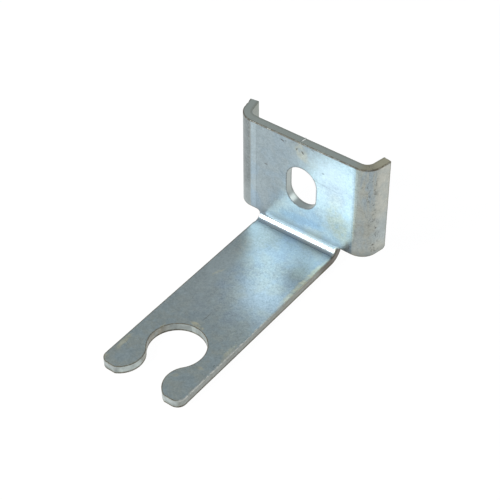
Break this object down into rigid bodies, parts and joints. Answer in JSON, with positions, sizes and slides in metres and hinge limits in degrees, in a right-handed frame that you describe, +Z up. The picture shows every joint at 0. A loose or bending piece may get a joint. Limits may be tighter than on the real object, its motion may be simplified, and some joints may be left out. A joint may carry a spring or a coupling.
{
  "type": "stamped bracket",
  "caption": "Folded sheet steel bracket: a flat arm ends in an open keyhole fork, and its other end turns up into a slotted plate with short stiffening flanges.",
  "frame": {"origin": "centre of the fork's round notch, on the underside of the arm", "axes": "+Y along the arm, from the fork to the upright plate; +Z up, from the arm's underside; +X across the arm, to the right when looking along +Y"},
  "size_m": [0.0434, 0.0733, 0.0335],
  "materials": {
    "zinc_steel": "zinc plated and clear passivated, satin"
  },
  "bodies": {
    "root": {"bracket": "zinc_steel"}
  },
  "joints": []
}
